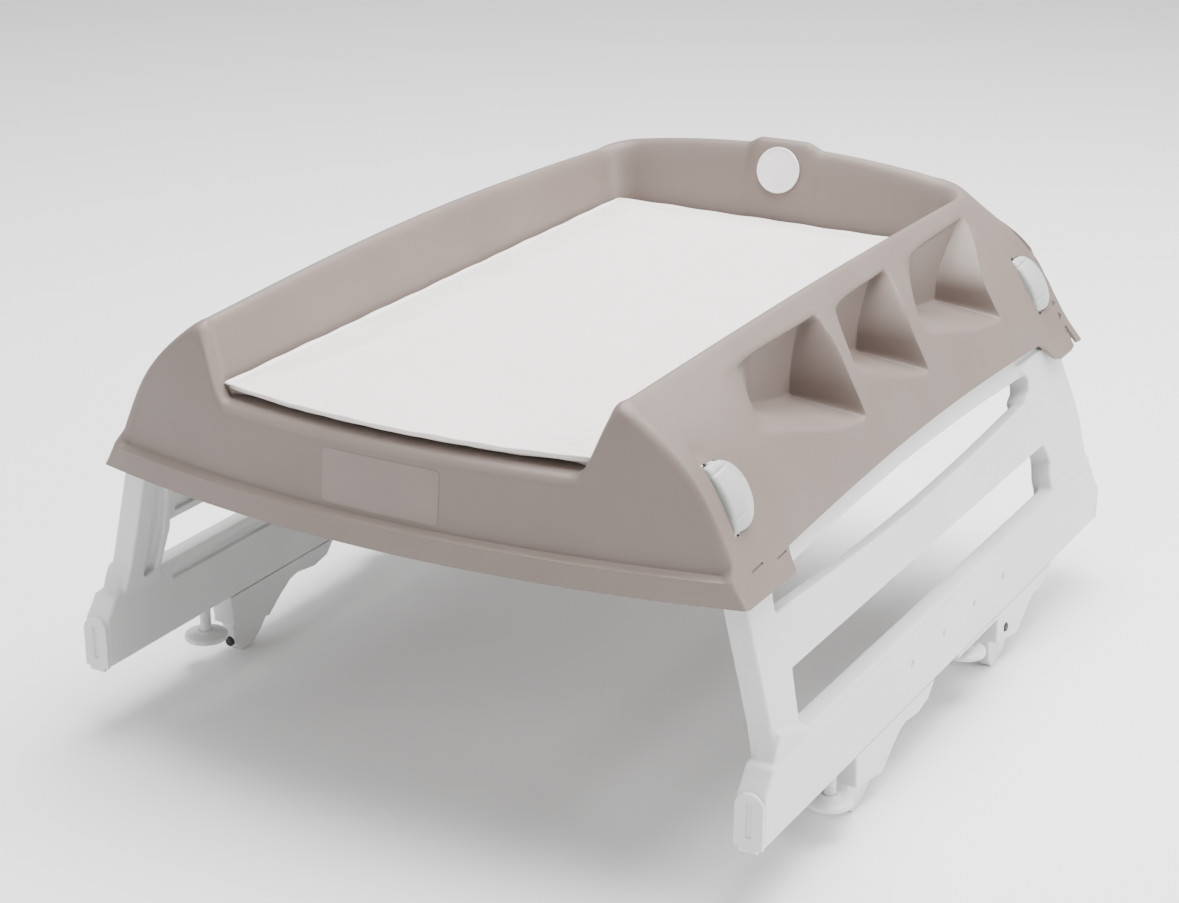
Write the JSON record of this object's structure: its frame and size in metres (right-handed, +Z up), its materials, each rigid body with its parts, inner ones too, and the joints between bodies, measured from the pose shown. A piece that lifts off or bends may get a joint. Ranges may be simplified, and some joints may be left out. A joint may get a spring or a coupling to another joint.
{
  "type": "folding changing table",
  "caption": "Baby changing top: walled tray with a soft mat and side pockets on two folding hooked leg frames that sit across a bath or a cot.",
  "frame": {"origin": "centre of the bounding box, at the level that the four hooks stand on", "axes": "+Z up, +X to the right seen from the low front lip, -Y towards the front lip"},
  "size_m": [0.766, 0.898, 0.479],
  "materials": {
    "taupe_shell": "satin fine-grained moulding",
    "mat_cover": "soft welded wipe-clean film",
    "frost_plastic": "satin, slightly translucent moulding",
    "button_grey": "smooth satin",
    "black_rubber": "matt",
    "steel": "bright",
    "badge_white": "glossy, blank",
    "label_film": "blank satin film"
  },
  "bodies": {
    "tray": {"tray_shell": "taupe_shell", "changing_mat": "mat_cover", "badge_disc": "badge_white", "info_label": "label_film", "deck_ribs": "taupe_shell", "rib_screws": "steel", "front_bracket_right": "frost_plastic", "front_hinge_pin_right": "steel", "rear_bracket_right": "frost_plastic", "rear_hinge_pin_right": "steel", "front_bracket_left": "frost_plastic", "front_hinge_pin_left": "steel", "rear_bracket_left": "frost_plastic", "rear_hinge_pin_left": "steel"},
    "front_button_right": {"front_button_right": "button_grey", "front_spring_right": "steel"},
    "rear_button_right": {"rear_button_right": "button_grey", "rear_spring_right": "steel"},
    "leg_right": {"leg_frame_right": "frost_plastic", "front_cap_right": "frost_plastic", "rear_cap_right": "frost_plastic", "front_hook_right": "frost_plastic", "front_stud_right": "black_rubber"},
    "rear_hook_right": {"rear_hook_right": "frost_plastic", "rear_stud_right": "black_rubber"},
    "front_foot_screw_right": {"front_foot_stem_right": "frost_plastic", "front_foot_disc_right": "frost_plastic"},
    "rear_foot_screw_right": {"rear_foot_stem_right": "frost_plastic", "rear_foot_disc_right": "frost_plastic"},
    "front_button_left": {"front_button_left": "button_grey", "front_spring_left": "steel"},
    "rear_button_left": {"rear_button_left": "button_grey", "rear_spring_left": "steel"},
    "leg_left": {"leg_frame_left": "frost_plastic", "front_cap_left": "frost_plastic", "rear_cap_left": "frost_plastic", "front_hook_left": "frost_plastic", "front_stud_left": "black_rubber"},
    "rear_hook_left": {"rear_hook_left": "frost_plastic", "rear_stud_left": "black_rubber"},
    "front_foot_screw_left": {"front_foot_stem_left": "frost_plastic", "front_foot_disc_left": "frost_plastic"},
    "rear_foot_screw_left": {"rear_foot_stem_left": "frost_plastic", "rear_foot_disc_left": "frost_plastic"}
  },
  "joints": [
    {"name": "fold_right", "type": "hinge", "parent": "tray", "child": "leg_right", "pos_m": [0.316, 0.006, 0.309], "axis": [0, 1, 0], "range_deg": [0, 96]},
    {"name": "hook_slide_right", "type": "slide", "parent": "leg_right", "child": "rear_hook_right", "axis": [0, 1, 0], "range_m": [0, 0.08]},
    {"name": "press_front_right", "type": "slide", "parent": "tray", "child": "front_button_right", "axis": [-0.8633, 0, -0.5046], "range_m": [0, 0.006], "stiffness_N_per_m": 300},
    {"name": "press_rear_right", "type": "slide", "parent": "tray", "child": "rear_button_right", "axis": [-0.8379, 0, -0.5459], "range_m": [0, 0.006], "stiffness_N_per_m": 300},
    {"name": "foot_screw_front_right", "type": "slide", "parent": "leg_right", "child": "front_foot_screw_right", "axis": [0, 0, 1], "range_m": [-0.004, 0.016]},
    {"name": "foot_screw_rear_right", "type": "slide", "parent": "rear_hook_right", "child": "rear_foot_screw_right", "axis": [0, 0, 1], "range_m": [-0.018, 0.002]},
    {"name": "fold_left", "type": "hinge", "parent": "tray", "child": "leg_left", "pos_m": [-0.316, 0.006, 0.309], "axis": [0, -1, 0], "range_deg": [0, 96]},
    {"name": "hook_slide_left", "type": "slide", "parent": "leg_left", "child": "rear_hook_left", "axis": [0, 1, 0], "range_m": [0, 0.08]},
    {"name": "press_front_left", "type": "slide", "parent": "tray", "child": "front_button_left", "axis": [0.8633, 0, -0.5046], "range_m": [0, 0.006], "stiffness_N_per_m": 300},
    {"name": "press_rear_left", "type": "slide", "parent": "tray", "child": "rear_button_left", "axis": [0.8379, 0, -0.5459], "range_m": [0, 0.006], "stiffness_N_per_m": 300},
    {"name": "foot_screw_front_left", "type": "slide", "parent": "leg_left", "child": "front_foot_screw_left", "axis": [0, 0, 1], "range_m": [-0.004, 0.016]},
    {"name": "foot_screw_rear_left", "type": "slide", "parent": "rear_hook_left", "child": "rear_foot_screw_left", "axis": [0, 0, 1], "range_m": [-0.018, 0.002]}
  ]
}
